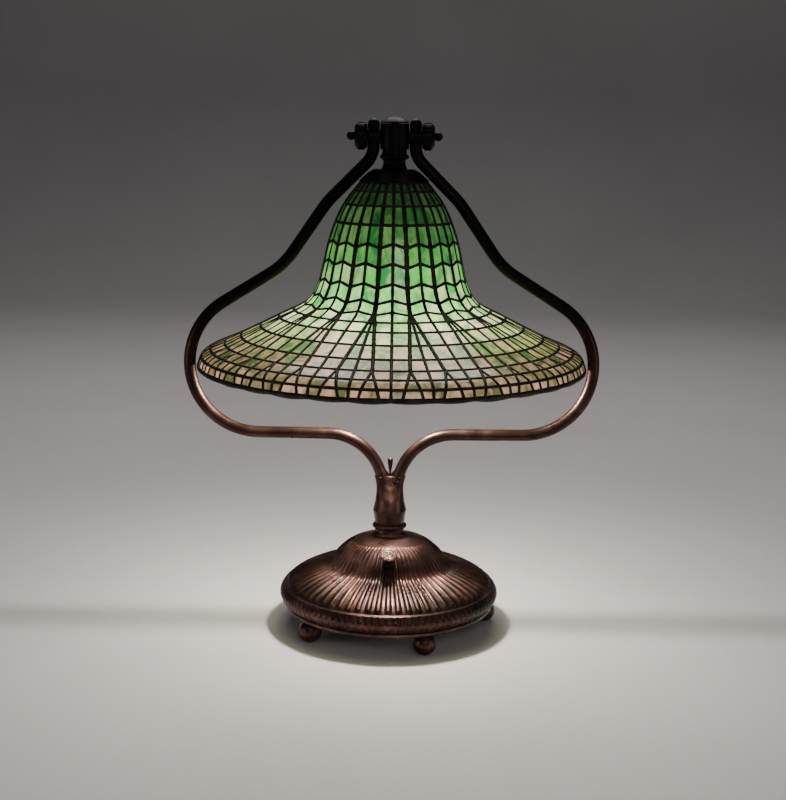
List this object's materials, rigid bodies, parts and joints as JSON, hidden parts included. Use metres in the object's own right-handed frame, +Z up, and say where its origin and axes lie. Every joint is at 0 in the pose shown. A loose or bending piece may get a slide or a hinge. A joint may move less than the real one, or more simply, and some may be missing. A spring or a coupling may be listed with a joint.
{
  "type": "stained glass table lamp",
  "caption": "Bronze harp table lamp with a flared bell shade of leaded green opalescent glass, a ribbed domed base on ball feet and a spiral switch knob.",
  "frame": {"origin": "on the standing surface, under the stem's axis", "axes": "+Z up along the stem, -Y towards the switch knob, the harp's arms in the XZ plane"},
  "size_m": [0.448, 0.416, 0.5528],
  "materials": {
    "bronze": "dark red-brown patina",
    "dark_bronze": "near-black patina",
    "brass_fittings": "satin",
    "art_glass": "opalescent, streaked",
    "lead_came": "dark patinated solder",
    "bulb_glass": "frosted",
    "moulding": "moulded",
    "wire_cover": "braided",
    "steel_plate": "painted",
    "ballast_iron": "raw"
  },
  "bodies": {
    "stand": {"arm_eye_left": "dark_bronze", "arm_eye_right": "dark_bronze", "arm_wire_left": "wire_cover", "arm_wire_right": "wire_cover", "ball_foot_1": "bronze", "ball_foot_2": "bronze", "ball_foot_3": "bronze", "ball_foot_4": "bronze", "ball_foot_5": "bronze", "ballast_weight": "ballast_iron", "base_lip": "bronze", "base_plate": "steel_plate", "base_shell": "bronze", "cord_bushing": "moulding", "crotch_bud": "bronze", "crotch_web": "bronze", "foot_screws": "steel_plate", "harp_arm_left": "bronze", "harp_arm_right": "bronze", "pivot_screws": "dark_bronze", "pivot_washers": "dark_bronze", "stem_collar": "bronze", "stem_wire": "wire_cover", "switch_body": "moulding", "switch_bushing": "brass_fittings", "switch_nut": "brass_fittings", "tie_nut": "brass_fittings", "tie_pipe": "brass_fittings", "tie_washer": "brass_fittings", "trunk": "bronze"},
    "switch": {"switch_knob": "bronze", "switch_shaft": "brass_fittings"},
    "clamp_left": {"clamp_knob_left": "dark_bronze"},
    "clamp_right": {"clamp_knob_right": "dark_bronze"},
    "hub": {"hub_block": "dark_bronze", "hanger_sleeve": "dark_bronze", "hanger_pipe": "brass_fittings", "hanger_wire": "wire_cover", "shade_rest_nut": "brass_fittings", "socket_cluster": "dark_bronze", "bulb_base_1": "brass_fittings", "bulb_base_2": "brass_fittings", "bulb_base_3": "brass_fittings", "bulb_glass_1": "bulb_glass", "bulb_glass_2": "bulb_glass", "bulb_glass_3": "bulb_glass", "socket_shell_1": "brass_fittings", "socket_shell_2": "brass_fittings", "socket_shell_3": "brass_fittings"},
    "shade": {"shade_cap": "dark_bronze", "rim_band": "lead_came", "came_ribs": "lead_came", "came_rings": "lead_came", "glass_bell": "art_glass", "glass_border": "art_glass", "glass_crown": "art_glass", "glass_skirt_lower": "art_glass", "glass_skirt_upper": "art_glass", "glass_throat": "art_glass"},
    "finial": {"finial_cap": "dark_bronze"}
  },
  "joints": [
    {"name": "switch_turn", "type": "hinge", "parent": "stand", "child": "switch", "pos_m": [0, -0.0535, 0.0848], "axis": [0, -0.6157, 0.788], "continuous": true},
    {"name": "clamp_left_turn", "type": "hinge", "parent": "stand", "child": "clamp_left", "pos_m": [-0.036, 0, 0.5326], "axis": [1, 0, 0], "continuous": true},
    {"name": "clamp_right_turn", "type": "hinge", "parent": "stand", "child": "clamp_right", "pos_m": [0.036, 0, 0.5326], "axis": [1, 0, 0], "continuous": true},
    {"name": "shade_tilt", "type": "hinge", "parent": "stand", "child": "hub", "pos_m": [0, 0, 0.5326], "axis": [1, 0, 0], "range_deg": [-15, 15]},
    {"name": "shade_swivel", "type": "hinge", "parent": "hub", "child": "shade", "pos_m": [0, 0, 0.4987], "axis": [0, 0, 1], "continuous": true},
    {"name": "finial_turn", "type": "hinge", "parent": "hub", "child": "finial", "pos_m": [0, 0, 0.546], "axis": [0, 0, 1], "continuous": true}
  ]
}
